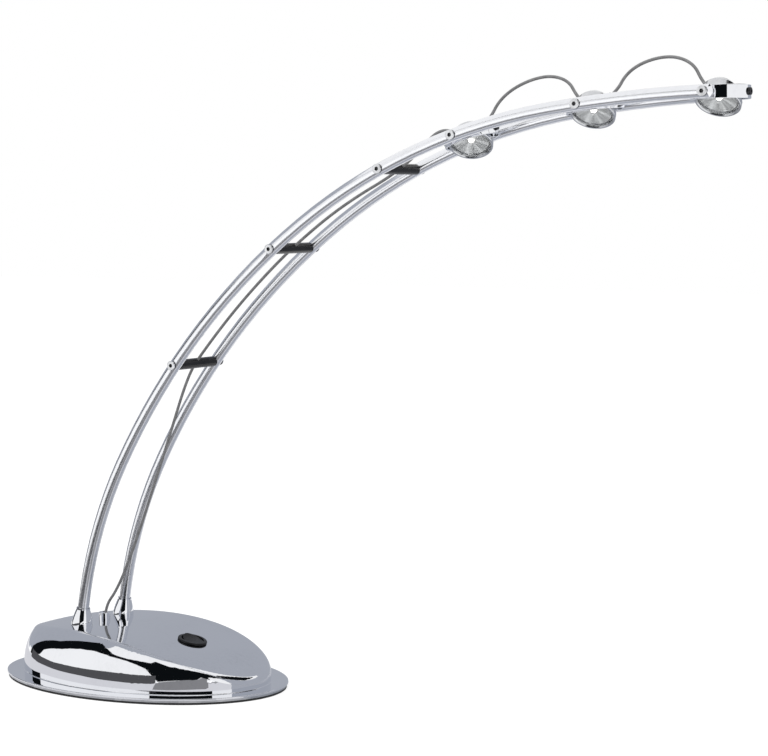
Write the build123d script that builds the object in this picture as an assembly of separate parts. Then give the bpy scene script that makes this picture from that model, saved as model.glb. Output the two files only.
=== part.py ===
# LED table lamp: an oval pressed base carries two parallel tubes that rise
# and sweep forward in one long arch. Three small spot heads hang between the
# tubes, each in a ring that tilts on the tubes while the pot tilts in the ring.
# Millimetres and degrees. +Z is up, +X runs from the base towards the heads,
# and the origin is the middle of the underside.
import os
from math import asin, cos, degrees, hypot, radians, sin, sqrt, tan

from build123d import *

os.makedirs("parts", exist_ok=True)

# Arch of the two tubes, as tangent arcs from the top of the ferrules
rod_dia = 8.0
rod_wall = 1.2
rod_x = -36.5
ferrule_stand = 12.0
start_slope = 81.7
arch_radii = (311.0, 492.0, 410.0, 890.0)
arch_turns = (20.3, 26.2, 27.1, 6.7)
rod_overrun = 3.5
tip_dome = 1.6
tip_spigot = 1.5

# Places along the arch, as arc length from the top of the ferrules
bar_at = (194.0, 307.0, 405.0)
head_at = (462.0, 550.0, 633.0)

# Base
base_half_length = 97.0
base_half_width = 63.5
flange_width = 12.0
flange_side_width = 12.0
sheet = 1.2
crown_x = -28.0
crown_z = 39.1
nose_z = 10.78
wall_upright = 4.0
wall_lean_over = 1.1
wall_lean_width = 25.0
shoulder_radius = 6.0
foot_radius = 0.5
rim_radius = 0.5
pad_thickness = 1.5
plate_thickness = 1.5
plate_inset = 0.8
pad_inset = 1.0
post_x = 60.0
post_y = 32.0
post_dia = 7.0
post_gap = 1.0
ballast_x = -8.0
ballast_half_length = 66.0
ballast_half_width = 42.0
ballast_thickness = 8.0
ballast_screw_x = (-45.0, 36.0)
driver_x = 1.0
driver_size = (46.0, 32.0, 14.0)
gland_z = 14.0
gland_dia = 9.0
gland_flange_dia = 13.0
gland_reach = 4.0

# Rocker switch on the base
switch_x = 40.0
bezel_lip = 1.1
bezel_height = 1.3
switch_wall = 1.2
switch_depth = 12.0
rocker_dia = 14.8
rocker_gap = 0.6
rocker_throw = 8.0
rocker_pivot_z = -2.0
rocker_pin_dia = 2.0

# Ferrules and cable bush
ferrule_height = 15.0
ferrule_belly = 3.2
ferrule_collar = 0.6
ferrule_foot = 2.2
nut_wall = 2.5
nut_height = 5.0
nut_gap = 2.8
nut_overrun = 2.0
bush_dia = 8.0
bush_stand = 5.5
bush_spigot_dia = 5.8
bush_spigot_reach = 6.0
bush_mouth_dia = 5.0
bush_flare = 5.0

# Cross bars and screws
bar_dia = 7.0
screw_dia = 3.0
screw_head_dia = 6.4
screw_head_height = 2.0
socket_across = 2.5
screw_seat = 0.7
bar_screw_bite = 8.0

# Heads
ring_side_gap = 1.75
ring_wall = 1.6
pot_gap = 0.57
ring_height = 8.3
pot_tilt = 34.0
pot_back_z = 6.0
pot_chamfer = 3.0
pot_back_dia = 20.8
pot_front_dia = 27.2
pot_wall = 1.2
pot_front_z = -6.5
boss_dia = 5.6
boss_gap = 0.8
pot_screw_dia = 2.4
pot_screw_head_dia = 4.6
pot_screw_head_height = 1.4
pot_lip = 0.5
pot_lip_chamfer = 0.3
bezel_depth = 1.3
bezel_skirt = 2.0
lens_wall = 0.28
lens_lip = 0.35
lens_thickness = 1.4
lens_bulge = 0.6
board_gap = 0.2
board_thickness = 5.4
chip_size = 5.0
chip_height = 1.0
chip_dome_dia = 4.6
reflector_wall = 0.7
throat_gap = 0.5
cable_bush_dia = 3.8
cable_bush_reach = 2.5

# Cable
cable_dia = 2.0

# Clearances
free_fit = 0.3
close_fit = 0.1
running_fit = 0.05

# Values that follow from the sizes above
rod_r = rod_dia / 2
rod_bore_r = rod_r - rod_wall
plate_z = pad_thickness
flange_z = plate_z + plate_thickness
flange_top_z = flange_z + sheet
screw_r = screw_dia / 2
pot_screw_r = pot_screw_dia / 2
cable_r = cable_dia / 2

# The barrel top runs from the crown down to the nose, and the wall leans in past the crown
crown_fall = crown_z - nose_z
crown_reach = base_half_length - crown_x
crown_radius = (crown_reach ** 2 + crown_fall ** 2) / (2 * crown_fall)
wall_lean_height = wall_lean_over * (crown_z - flange_top_z - wall_upright)

# The ring clears the pot's reach, and the tubes clear the ring
back_r = pot_back_dia / 2
front_r = pot_front_dia / 2
bezel_r = front_r + pot_lip
bezel_front_z = pot_front_z - bezel_depth
pot_reach = hypot(bezel_r, bezel_front_z + pot_lip_chamfer)
ring_bore_r = pot_reach + pot_gap
ring_r = ring_bore_r + ring_wall
rod_half = ring_r + ring_side_gap + rod_r
rod_spacing = 2 * rod_half
seat_y = rod_half + rod_r - screw_seat


def crown_height(x):
    """Height of the base's top at a place along its length."""
    return crown_z - crown_radius + sqrt(crown_radius ** 2 - (x - crown_x) ** 2)


# Heights above the base's top, and the tubes' tails below it
ferrule_top_z = crown_height(rod_x) + ferrule_stand
bush_top_z = crown_height(rod_x) + bush_stand
nut_drop = ferrule_stand + sheet + nut_gap
rod_tail = nut_drop + nut_height + nut_overrun
nut_across = rod_dia + 2 * nut_wall

# The switch's body holds the rocker, and its bezel covers the hole
well_r = rocker_dia / 2 + rocker_gap
switch_body_r = well_r + switch_wall
bezel_outer_r = switch_body_r + bezel_lip


def advance(x, z, slope, radius, turn):
    """Point and slope after a clockwise arc in the XZ plane."""
    centre_x = x + radius * sin(radians(slope))
    centre_z = z - radius * cos(radians(slope))
    out = slope - turn
    return (centre_x - radius * sin(radians(out)),
            centre_z + radius * cos(radians(out)), out)


def arch(length):
    """Point and slope of the arch at an arc length from the ferrule top."""
    state = (rod_x, ferrule_top_z, start_slope)
    left = length
    for radius, turn in zip(arch_radii[:-1], arch_turns[:-1]):
        arc = radius * radians(turn)
        if left <= arc:
            return advance(*state, radius, degrees(left / radius))
        state = advance(*state, radius, turn)
        left -= arc
    return advance(*state, arch_radii[-1], degrees(left / arch_radii[-1]))


def arch_solid(y, section, begin, end):
    """Section carried along the arch, at one side."""
    stops = [begin]
    run = 0.0
    for arc_radius, turn in zip(arch_radii[:-1], arch_turns[:-1]):
        run += arc_radius * radians(turn)
        stops.append(run)
    stops.append(end)
    body = None
    for number, arc_radius in enumerate(arch_radii):
        x, z, slope = arch(stops[number])
        along = (cos(radians(slope)), 0, sin(radians(slope)))
        inward = (along[2], 0, -along[0])
        face = Plane(origin=(x, y, z), x_dir=inward, z_dir=along) * section
        centre = (x + arc_radius * along[2], y, z - arc_radius * along[0])
        sweep_angle = degrees((stops[number + 1] - stops[number]) / arc_radius)
        piece = revolve(face, Axis(centre, (0, 1, 0)), sweep_angle)
        body = piece if body is None else body + piece
    return body


def arch_plane(length):
    """Frame on the arch's mid line: x along it, y across, z outward."""
    x, z, slope = arch(length)
    along = (cos(radians(slope)), 0, sin(radians(slope)))
    outward = (-sin(radians(slope)), 0, cos(radians(slope)))
    return Plane(origin=(x, 0, z), x_dir=along, z_dir=outward)


def side_plane(length, y, side):
    """Frame on a tube's side: z points outward across the lamp."""
    x, z, slope = arch(length)
    along = (cos(radians(slope)), 0, sin(radians(slope)))
    return Plane(origin=(x, y, z), x_dir=along, z_dir=(0, side, 0))


def cap_screw(head_d, head_h, shank_d, shank_length, across):
    """Socket screw seated at z = 0 with its shank down."""
    head = Cylinder(head_d / 2, head_h, align=(Align.CENTER, Align.CENTER, Align.MIN))
    head = fillet(head.edges().sort_by(Axis.Z)[-1], 0.2 * head_h)
    socket = extrude(RegularPolygon(across / 2, 6, major_radius=False), -0.6 * head_h)
    shank = Cylinder(shank_d / 2, shank_length, align=(Align.CENTER, Align.CENTER, Align.MAX))
    return head + shank - Pos(0, 0, head_h) * socket


def cap_arc(radius, z, bulge):
    """Arc of a spherical cap from its rim to the axis."""
    sphere = (radius ** 2 + bulge ** 2) / (2 * bulge)
    half = asin(radius / sphere) / 2
    top = z + bulge
    return ThreePointArc((radius, z), (sphere * sin(half), top - sphere * (1 - cos(half))), (0, top))


def save(name, *solids):
    shape = solids[0] if len(solids) == 1 else Compound(children=list(solids))
    export_step(shape, "parts/" + name + ".step")


def oval(half_length, half_width, z):
    return Pos(0, 0, z) * Ellipse(half_length, half_width)


def dome(inset, bottom_z):
    """Oval wall that leans in as it rises, under a barrel top, with a rolled shoulder."""
    upright_z = flange_top_z + wall_upright
    lower = Pos(0, 0, bottom_z) * extrude(
        Ellipse(base_half_length - inset, base_half_width - inset), upright_z - bottom_z)
    sections = []
    for share in (0.0, 0.25, 0.5, 0.75, 0.92):
        lean = inset + wall_lean_width * (1 - sqrt(1 - share ** 2))
        sections.append(oval(base_half_length - lean, base_half_width - lean,
                             upright_z + share * wall_lean_height))
    wall = lower + loft(sections)
    radius = crown_radius - inset
    barrel = Pos(crown_x, 0, crown_z - crown_radius) * Rot(90, 0, 0) * Cylinder(radius, 3 * base_half_width)
    body = wall & barrel
    top = body.faces().sort_by(Axis.Z)[-1]
    return fillet(top.edges(), shoulder_radius - inset)


# Base cover, a pressed shell with a flange, four posts and its holes
cover_body = dome(0, flange_z)
flange = Pos(0, 0, flange_z) * extrude(
    Ellipse(base_half_length + flange_width, base_half_width + flange_side_width), sheet)
base_cover = cover_body + flange
foot_edges = [edge for edge in base_cover.edges()
              if abs(edge.center().Z - flange_top_z) < 0.01
              and edge.bounding_box().size.X < 2 * base_half_length + flange_width]
base_cover = fillet(foot_edges, foot_radius)
base_cover -= dome(sheet, flange_z)
rim_edges = [edge for edge in base_cover.edges()
             if edge.bounding_box().size.X > 2 * base_half_length + flange_width
             and edge.center().Z > flange_z + sheet / 2]
base_cover = fillet(rim_edges, rim_radius)
post_spots = [(px, py) for px in (-post_x, post_x) for py in (-post_y, post_y)]
for px, py in post_spots:
    post = Pos(px, py, flange_z) * Cylinder(
        post_dia / 2, crown_z, align=(Align.CENTER, Align.CENTER, Align.MIN))
    base_cover += post & cover_body
base_screw_length = ballast_thickness
for px, py in post_spots:
    base_cover -= Pos(px, py, flange_z) * Cylinder(
        screw_r + running_fit, base_screw_length + 2,
        align=(Align.CENTER, Align.CENTER, Align.MIN))

# Chords of the tubes through the ferrules give the ferrules' axes
foot_x, foot_z, foot_slope = arch(-ferrule_height)
chord = (rod_x - foot_x, 0, ferrule_top_z - foot_z)
ferrule_planes = [Plane(origin=(foot_x, y, foot_z), x_dir=(0, 1, 0), z_dir=chord)
                  for y in (-rod_half, rod_half)]
for plane in ferrule_planes:
    base_cover -= plane * Cylinder(rod_r + free_fit + close_fit, 20)
bush_hole = Pos(rod_x, 0, crown_height(rod_x)) * Cylinder(bush_spigot_dia / 2 + close_fit, 10)
base_cover -= bush_hole
switch_lean = degrees(asin((switch_x - crown_x) / crown_radius))
switch_plane = Plane(origin=(switch_x, 0, crown_height(switch_x)),
                     x_dir=(cos(radians(switch_lean)), 0, -sin(radians(switch_lean))),
                     z_dir=(sin(radians(switch_lean)), 0, cos(radians(switch_lean))))
base_cover -= switch_plane * Cylinder(switch_body_r + close_fit, 10)
gland_axis = Plane(origin=(-base_half_length, 0, gland_z), x_dir=(0, 1, 0), z_dir=(-1, 0, 0))
base_cover -= gland_axis * Cylinder(gland_dia / 2 + close_fit, 12)
save("base_cover", base_cover)

# Base plate, pad and the screws from below
plate = Pos(0, 0, plate_z) * extrude(
    Ellipse(base_half_length + flange_width - plate_inset,
            base_half_width + flange_side_width - plate_inset), plate_thickness)
pad = extrude(Ellipse(base_half_length + flange_width - pad_inset,
                      base_half_width + flange_side_width - pad_inset), pad_thickness)
ballast = Pos(ballast_x, 0, flange_z) * extrude(
    Ellipse(ballast_half_length, ballast_half_width), ballast_thickness)
ballast = fillet(ballast.edges().sort_by(Axis.Z)[-1], 1.5)
for px, py in post_spots:
    ballast -= Pos(px, py, flange_z) * Cylinder(post_dia / 2 + post_gap, 4 * ballast_thickness)
screw_spots = post_spots + [(px, 0.0) for px in ballast_screw_x]
base_screws = []
for px, py in screw_spots:
    plate -= Pos(px, py, plate_z) * Cylinder(screw_r + close_fit, 8)
    pad -= Pos(px, py, 0) * Cylinder(screw_head_dia / 2 + free_fit, 8)
    head_h = pad_thickness - free_fit
    screw = cap_screw(screw_head_dia, head_h, screw_dia, base_screw_length, socket_across)
    base_screws.append(Pos(px, py, plate_z) * Rot(180, 0, 0) * screw)
for px in ballast_screw_x:
    ballast -= Pos(px, 0, flange_z) * Cylinder(
        screw_r + running_fit, base_screw_length,
        align=(Align.CENTER, Align.CENTER, Align.MIN))
save("base_plate", plate)
save("base_pad", pad)
save("base_screws", *base_screws)
save("ballast_weight", ballast)

# Driver box with its sloped lid edges, on the ballast
driver_z = flange_z + ballast_thickness
driver = Pos(driver_x, 0, driver_z) * Box(
    *driver_size, align=(Align.CENTER, Align.CENTER, Align.MIN))
driver = fillet(driver.edges().filter_by(Axis.Z), 2.5)
driver = chamfer(driver.faces().sort_by(Axis.Z)[-1].edges(), 1.2)
save("led_driver", driver)

# Lead gland in the rear wall, closed by its own web
gland_flange = Cylinder(gland_flange_dia / 2, gland_reach)
gland_flange = fillet(gland_flange.edges().sort_by(Axis.Z)[-1], 1.5)
gland = gland_axis * (Pos(0, 0, gland_reach / 2) * gland_flange) - cover_body
gland_plug = gland_axis * (Pos(0, 0, -2.5) * Cylinder(gland_dia / 2, 6.0))
gland = gland + gland_plug
gland -= gland_axis * (Pos(0, 0, gland_reach) * Cylinder(2.6, 2.4))
save("lead_gland", gland)

# Rocker switch
bezel = Pos(0, 0, free_fit) * Cylinder(
    bezel_outer_r, bezel_height, align=(Align.CENTER, Align.CENTER, Align.MIN))
bezel = fillet(bezel.edges().sort_by(Axis.Z)[-1], 0.8)
body = Pos(0, 0, free_fit) * Cylinder(
    switch_body_r, switch_depth, align=(Align.CENTER, Align.CENTER, Align.MAX))
well = Pos(0, 0, free_fit + bezel_height) * Cylinder(
    well_r, 10.0, align=(Align.CENTER, Align.CENTER, Align.MAX))
pin_half = (well_r + switch_body_r) / 2
pin_holes = Pos(0, 0, rocker_pivot_z) * Rot(90, 0, 0) * Cylinder(
    rocker_pin_dia / 2 + running_fit, 2 * (pin_half + close_fit))
housing = bezel + body - well - pin_holes
for tag_y in (-4.0, 4.0):
    housing += Pos(0, tag_y, free_fit - switch_depth) * Box(
        4.8, 0.8, 4.5, align=(Align.CENTER, Align.CENTER, Align.MAX))
save("switch_housing", switch_plane * housing)

paddle = Pos(0, 0, -5.4) * Cylinder(
    rocker_dia / 2, 8.6, align=(Align.CENTER, Align.CENTER, Align.MIN))
dish_radius = 22.0
dish = Pos(0, 0, dish_radius + 1.1) * Rot(90, 0, 0) * Cylinder(dish_radius, 2 * rocker_dia)
paddle -= dish
pins = Pos(0, 0, rocker_pivot_z) * Rot(90, 0, 0) * Cylinder(rocker_pin_dia / 2, 2 * pin_half)
paddle += pins
rocker = Pos(0, 0, rocker_pivot_z) * Rot(0, rocker_throw, 0) * Pos(0, 0, -rocker_pivot_z) * paddle
save("switch_rocker", switch_plane * rocker)

# Tubes with their cross holes and spot faces
rod_end = head_at[-1] + rod_overrun
sides = (-1, 1)
rods = []
for side in sides:
    tube = arch_solid(side * rod_half, Circle(rod_r) - Circle(rod_bore_r), -rod_tail, rod_end)
    for place in bar_at + head_at:
        across = side_plane(place, side * rod_half, side)
        seat = side_plane(place, side * seat_y, side)
        cutter = across * Cylinder(screw_r + close_fit, 2 * rod_dia)
        cutter += seat * Cylinder(screw_head_dia / 2 + close_fit, rod_dia,
                                  align=(Align.CENTER, Align.CENTER, Align.MIN))
        tube = (tube - cutter).fix()
    rods.append(tube)
save("rod_near", rods[0])
save("rod_far", rods[1])

# Domed plugs in the tubes' tips
tip_profile = make_face(
    Line((0, -tip_spigot), (rod_bore_r - running_fit, -tip_spigot))
    + Line((rod_bore_r - running_fit, -tip_spigot), (rod_bore_r - running_fit, 0))
    + Line((rod_bore_r - running_fit, 0), (rod_r, 0))
    + cap_arc(rod_r, 0, tip_dome)
    + Line((0, tip_dome), (0, -tip_spigot)))
tip = revolve(Plane.XZ * tip_profile, Axis.Z)
tip_x, tip_z, tip_slope = arch(rod_end)
tips = []
for side in sides:
    tip_along = (cos(radians(tip_slope)), 0, sin(radians(tip_slope)))
    tips.append(Plane(origin=(tip_x, side * rod_half, tip_z), x_dir=(0, 1, 0), z_dir=tip_along) * tip)
save("rod_tips", *tips)

# Ferrules, each an olive on the tube, cut to sit on the base's top
ferrule_bore_r = rod_r + free_fit
foot_r = ferrule_bore_r + ferrule_foot
belly_r = ferrule_bore_r + ferrule_belly
collar_r = ferrule_bore_r + ferrule_collar
skirt = 4.0
outline = Spline((foot_r, -skirt), (belly_r, 0.2 * ferrule_height),
                 (0.93 * belly_r, 0.45 * ferrule_height), (0.77 * belly_r, 0.75 * ferrule_height),
                 (collar_r, 0.93 * ferrule_height))
ferrule_face = make_face(
    outline
    + Line((collar_r, 0.93 * ferrule_height), (collar_r, ferrule_height))
    + Line((collar_r, ferrule_height), (ferrule_bore_r, ferrule_height))
    + Line((ferrule_bore_r, ferrule_height), (ferrule_bore_r, -skirt))
    + Line((ferrule_bore_r, -skirt), (foot_r, -skirt)))
ferrule = revolve(Plane.XZ * ferrule_face, Axis.Z)
save("ferrule_near", ferrule_planes[0] * ferrule - cover_body)
save("ferrule_far", ferrule_planes[1] * ferrule - cover_body)

# Nuts under the cover that pull the tubes down
nut = extrude(RegularPolygon(nut_across / 2, 6, major_radius=False), -nut_height)
nut -= Cylinder(rod_r + running_fit, 4 * nut_height)
nut_x, nut_z, nut_slope = arch(-nut_drop)
nut_along = (cos(radians(nut_slope)), 0, sin(radians(nut_slope)))
save("rod_nuts", *[Plane(origin=(nut_x, side * rod_half, nut_z), x_dir=(0, 1, 0), z_dir=nut_along) * nut
                   for side in sides])

# Cable bush between the ferrules
bush_low = crown_height(rod_x) - bush_spigot_reach
bush_bore_r = cable_r + free_fit
bush = Pos(rod_x, 0, bush_low) * Cylinder(
    bush_dia / 2, bush_top_z - bush_low, align=(Align.CENTER, Align.CENTER, Align.MIN))
bush = fillet(bush.edges().sort_by(Axis.Z)[-1], 0.8)
bush -= cover_body
bush += Pos(rod_x, 0, bush_low) * Cylinder(
    bush_spigot_dia / 2, bush_spigot_reach + sheet, align=(Align.CENTER, Align.CENTER, Align.MIN))
bush -= Pos(rod_x, 0, bush_low) * Cylinder(bush_bore_r, 60)
bush -= Pos(rod_x, 0, bush_top_z) * Cone(
    bush_bore_r, bush_mouth_dia / 2, bush_flare, align=(Align.CENTER, Align.CENTER, Align.MAX))
save("cable_bush", bush)

# Cross bars, saddled on the tubes, with the cable's hole through the middle
rod_envelopes = [arch_solid(side * rod_half, Circle(rod_r + 0.03), -rod_tail, rod_end)
                 for side in sides]
bar_names = ("crossbar_lower", "crossbar_middle", "crossbar_upper")
cable_slopes = [arch(place)[2] for place in bar_at]
cable_slopes[2] += 8.0
bar_length = rod_spacing - rod_dia + 2.4
for name, place, slope in zip(bar_names, bar_at, cable_slopes):
    x, z, rod_slope = arch(place)
    bar = Pos(x, 0, z) * Rot(90, 0, 0) * Cylinder(bar_dia / 2, bar_length)
    for envelope in rod_envelopes:
        bar -= envelope
    through = Plane(origin=(x, 0, z), z_dir=(cos(radians(slope)), 0, sin(radians(slope))))
    bar -= through * Cylinder(cable_r + free_fit + close_fit, 3 * bar_dia)
    for side in sides:
        mouth = side_plane(place, side * (rod_half - rod_r + 2), side)
        bar -= mouth * Cylinder(screw_r + running_fit, bar_screw_bite + 3,
                                align=(Align.CENTER, Align.CENTER, Align.MAX))
    save(name, bar)

# Screws of the cross bars and of the rings
bar_shank = seat_y - (rod_half - rod_r) + bar_screw_bite
bar_screw = cap_screw(screw_head_dia, screw_head_height, screw_dia, bar_shank, socket_across)
save("crossbar_screws", *[side_plane(place, side * seat_y, side) * bar_screw
                          for place in bar_at for side in sides])
ring_shank = seat_y - ring_bore_r - close_fit
ring_screw = cap_screw(screw_head_dia, screw_head_height, screw_dia, ring_shank, socket_across)
save("ring_screws", *[side_plane(place, side * seat_y, side) * ring_screw
                      for place in head_at for side in sides])
washer_out = rod_half - rod_r - running_fit
washer_in = ring_r + close_fit
washer = Cylinder(screw_head_dia / 2, washer_out - washer_in,
                  align=(Align.CENTER, Align.CENTER, Align.MIN))
washer -= Cylinder(screw_r + close_fit, rod_dia)
save("ring_washers", *[side_plane(place, side * washer_in, side) * washer
                       for place in head_at for side in sides])

# Ring of a head, about the pot's centre
ring = Cylinder(ring_r, ring_height) - Cylinder(ring_bore_r, 2 * ring_height)
ring = fillet(ring.edges().filter_by(GeomType.CIRCLE), 0.35)
ring -= Rot(90, 0, 0) * Cylinder(screw_r + running_fit, 3 * ring_r)
ring -= Rot(0, 90, 0) * Cylinder(pot_screw_r + 0.02, 3 * ring_r)
boss_end = ring_bore_r - boss_gap
pot_shank = ring_r + running_fit - (boss_end - 3.2)
pot_screw = cap_screw(pot_screw_head_dia, pot_screw_head_height, pot_screw_dia, pot_shank, 1.6)
pot_screws = [Plane(origin=(end * (ring_r + running_fit), 0, 0), x_dir=(0, 1, 0), z_dir=(end, 0, 0)) * pot_screw
              for end in sides]

# Pot of a head, its light leaving along -Z
shoulder_z = pot_back_z - pot_chamfer
lens_z = pot_front_z + lens_thickness


def pot_radius(z):
    """Outer radius of the pot's tapered wall."""
    return back_r + (front_r - back_r) * (shoulder_z - z) / (shoulder_z - pot_front_z)


lens_r = pot_radius(lens_z) - lens_wall
outer_profile = Polyline(
    (0, pot_back_z), (back_r - pot_chamfer, pot_back_z), (back_r, shoulder_z),
    (front_r, pot_front_z), (0, pot_front_z), (0, pot_back_z))
pot_outer = revolve(Plane.XZ * make_face(outer_profile), Axis.Z)
floor_z = pot_back_z - 1.6
bore_low = pot_radius(lens_z) - pot_wall
bore_high = pot_radius(shoulder_z) - pot_wall


def cavity_radius(z):
    """Inner radius of the pot between its lens ledge and its shoulder."""
    share = (z - lens_z) / (shoulder_z - 0.4 - lens_z)
    return bore_low + share * (bore_high - bore_low)


inner_profile = Polyline(
    (0, pot_front_z), (lens_r + running_fit, pot_front_z), (lens_r + running_fit, lens_z),
    (bore_low, lens_z), (bore_high, shoulder_z - 0.4), (back_r - pot_chamfer - 0.2, floor_z),
    (0, floor_z), (0, pot_front_z))
pot_inner = revolve(Plane.XZ * make_face(inner_profile), Axis.Z)
pot = pot_outer
for end in sides:
    boss = Cylinder(boss_dia / 2, boss_end, align=(Align.CENTER, Align.CENTER, Align.MIN))
    pot += Plane(origin=(0, 0, 0), x_dir=(0, 1, 0), z_dir=(end, 0, 0)) * boss
pot -= pot_inner
for end in sides:
    hole = Pos(0, 0, boss_end) * Cylinder(
        pot_screw_r + running_fit, 3.6, align=(Align.CENTER, Align.CENTER, Align.MAX))
    pot -= Plane(origin=(0, 0, 0), x_dir=(0, 1, 0), z_dir=(end, 0, 0)) * hole

skirt_r = front_r + running_fit
opening_r = lens_r - lens_lip
bezel_profile = Polyline(
    (opening_r, pot_front_z), (skirt_r, pot_front_z), (skirt_r, pot_front_z + bezel_skirt),
    (bezel_r, pot_front_z + bezel_skirt), (bezel_r, bezel_front_z + pot_lip_chamfer),
    (bezel_r - pot_lip_chamfer, bezel_front_z),
    (opening_r + 0.5, bezel_front_z), (opening_r, pot_front_z - 0.4), (opening_r, pot_front_z))
pot_bezel = revolve(Plane.XZ * make_face(bezel_profile), Axis.Z)

lens_front = mirror(cap_arc(opening_r - close_fit, -pot_front_z, lens_bulge), Plane.XZ)
lens_face = make_face(
    Line((0, lens_z), (lens_r, lens_z)) + Line((lens_r, lens_z), (lens_r, pot_front_z))
    + Line((lens_r, pot_front_z), (opening_r - close_fit, pot_front_z))
    + lens_front
    + Line((0, pot_front_z - lens_bulge), (0, lens_z)))
lens = revolve(Plane.XZ * lens_face, Axis.Z)

board_z = floor_z - board_thickness
floor_r = back_r - pot_chamfer - 0.2
board_r = floor_r - board_gap
board = Pos(0, 0, board_z) * Cylinder(
    board_r, board_thickness, align=(Align.CENTER, Align.CENTER, Align.MIN))
for number in range(6):
    notch = Rot(0, 0, 60 * number) * Pos(board_r, 0, floor_z)
    board -= notch * Cylinder(1.4, 6)
chip = Pos(0, 0, board_z) * Box(
    chip_size, chip_size, chip_height, align=(Align.CENTER, Align.CENTER, Align.MAX))
chip_face_z = board_z - chip_height
chip += Pos(0, 0, chip_face_z) * Rot(180, 0, 0) * (
    Sphere(chip_dome_dia / 2) & Pos(0, 0, 5) * Box(10, 10, 10))

throat_r = chip_dome_dia / 2 + throat_gap
throat_z = chip_face_z - reflector_wall - 0.15
mouth_z = lens_z + 0.1
rim_z = mouth_z + 0.6
rim_r = cavity_radius(rim_z) - running_fit
mouth_r = rim_r - 0.4
mid_r = throat_r + 0.6 * (mouth_r - throat_r)
mid_z = throat_z + 0.37 * (mouth_z - throat_z)
reflector_face = make_face(
    ThreePointArc((throat_r, throat_z), (mid_r, mid_z), (mouth_r, mouth_z))
    + Line((mouth_r, mouth_z), (rim_r, mouth_z))
    + Line((rim_r, mouth_z), (rim_r, rim_z))
    + ThreePointArc((rim_r, rim_z), (mid_r + 0.2, mid_z + reflector_wall),
                    (throat_r, throat_z + reflector_wall))
    + Line((throat_r, throat_z + reflector_wall), (throat_r, throat_z)))
reflector = revolve(Plane.XZ * reflector_face, Axis.Z)

# Rubber cable bushes on the chamfer of the pot's back
lead_x = back_r - pot_chamfer / 2
lead_z = pot_back_z - pot_chamfer / 2
half_root = sqrt(0.5)
lead_bush = Pos(0, 0, -1.5) * Cylinder(
    cable_bush_dia / 2, cable_bush_reach + 1.5, align=(Align.CENTER, Align.CENTER, Align.MIN))
lead_bushes = {}
for end in sides:
    lead_plane = Plane(origin=(end * lead_x, 0, lead_z), x_dir=(0, 1, 0), z_dir=(end, 0, 1))
    lead_bushes[end] = lead_plane * lead_bush - pot_outer

head_planes = [arch_plane(place) for place in head_at]
for number, frame in enumerate(head_planes, start=1):
    tag = "_" + str(number)
    tilted = frame.location * Rot(-pot_tilt, 0, 0)
    save("ring" + tag, frame.location * ring)
    save("pot_screws" + tag, *[frame.location * screw for screw in pot_screws])
    save("pot_housing" + tag, tilted * pot)
    save("pot_bezel" + tag, tilted * pot_bezel)
    save("lens" + tag, tilted * lens)
    save("led_board" + tag, tilted * board)
    save("led_chip" + tag, tilted * chip)
    save("reflector" + tag, tilted * reflector)
    ends = (-1, 1) if number < len(head_planes) else (-1,)
    save("lead_bushes" + tag, *[tilted * lead_bushes[end] for end in ends])


def lead_exit(frame, end):
    """Tip of a lead bush and the way the cable leaves it."""
    reach = cable_bush_reach * half_root
    tilted = frame.location * Rot(-pot_tilt, 0, 0)
    tip_point = (tilted * Pos(end * (lead_x + reach), 0, lead_z + reach)).position
    far_point = (tilted * Pos(end * (lead_x + reach + 10), 0, lead_z + reach + 10)).position
    return tip_point, (far_point - tip_point).normalized()


def cable(name, points):
    """Cable along straight runs and the largest tangent arcs they allow."""
    points = [Vector(*tuple(point)) for point in points]
    radii = []
    for before, here, after in zip(points, points[1:], points[2:]):
        turn = (here - before).get_angle(after - here)
        shorter = min((here - before).length, (after - here).length)
        radii.append(0.45 * shorter / tan(radians(turn) / 2))
    path = FilletPolyline(*points, radius=radii)
    start = Plane(origin=points[0], z_dir=points[1] - points[0])
    tube = sweep(start * Circle(cable_r), path=path)
    ratio = tube.volume / (3.14159265 * cable_r ** 2 * path.length)
    print(name, "length", round(path.length, 1), "volume ratio", round(ratio, 4),
          "radii", [round(radius, 1) for radius in radii])
    save(name, tube)


def bar_points(number, reach):
    """Points either side of a cross bar, on the line of its cable hole."""
    x, z, rod_slope = arch(bar_at[number])
    dx = reach * cos(radians(cable_slopes[number]))
    dz = reach * sin(radians(cable_slopes[number]))
    return (x - dx, 0, z - dz), (x + dx, 0, z + dz)


def between(start, end, share, rise, drift=0.0):
    """Point on the chord of a stretch, raised and moved across."""
    start = tuple(start)
    end = tuple(end)
    return (start[0] + share * (end[0] - start[0]),
            start[1] + share * (end[1] - start[1]) + drift,
            start[2] + share * (end[2] - start[2]) + rise)


lead_run = 5.0
bar_low = [bar_points(number, 10.0)[0] for number in range(3)]
bar_high = [bar_points(number, 10.0)[1] for number in range(3)]
bush_mouth = (rod_x, 0, bush_top_z + 3.0)
tip_in, way_in = lead_exit(head_planes[0], -1)
last = tip_in + way_in * lead_run
supply = [(rod_x, 0, bush_low), bush_mouth]
supply += [between(bush_mouth, bar_low[0], 0.16, -13.0), between(bush_mouth, bar_low[0], 0.36, -15.5),
           between(bush_mouth, bar_low[0], 0.56, -12.0), between(bush_mouth, bar_low[0], 0.77, -7.0)]
supply += [bar_low[0], bar_high[0]]
supply += [between(bar_high[0], bar_low[1], 0.33, 2.6), between(bar_high[0], bar_low[1], 0.67, 2.4)]
supply += [bar_low[1], bar_high[1]]
supply += [between(bar_high[1], bar_low[2], 0.33, 2.5), between(bar_high[1], bar_low[2], 0.67, 2.2)]
supply += [bar_low[2], bar_high[2]]
supply += [between(bar_high[2], last, 0.3, 4.5, 1.0), between(bar_high[2], last, 0.62, 7.5, 2.0), last, tip_in]
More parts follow.
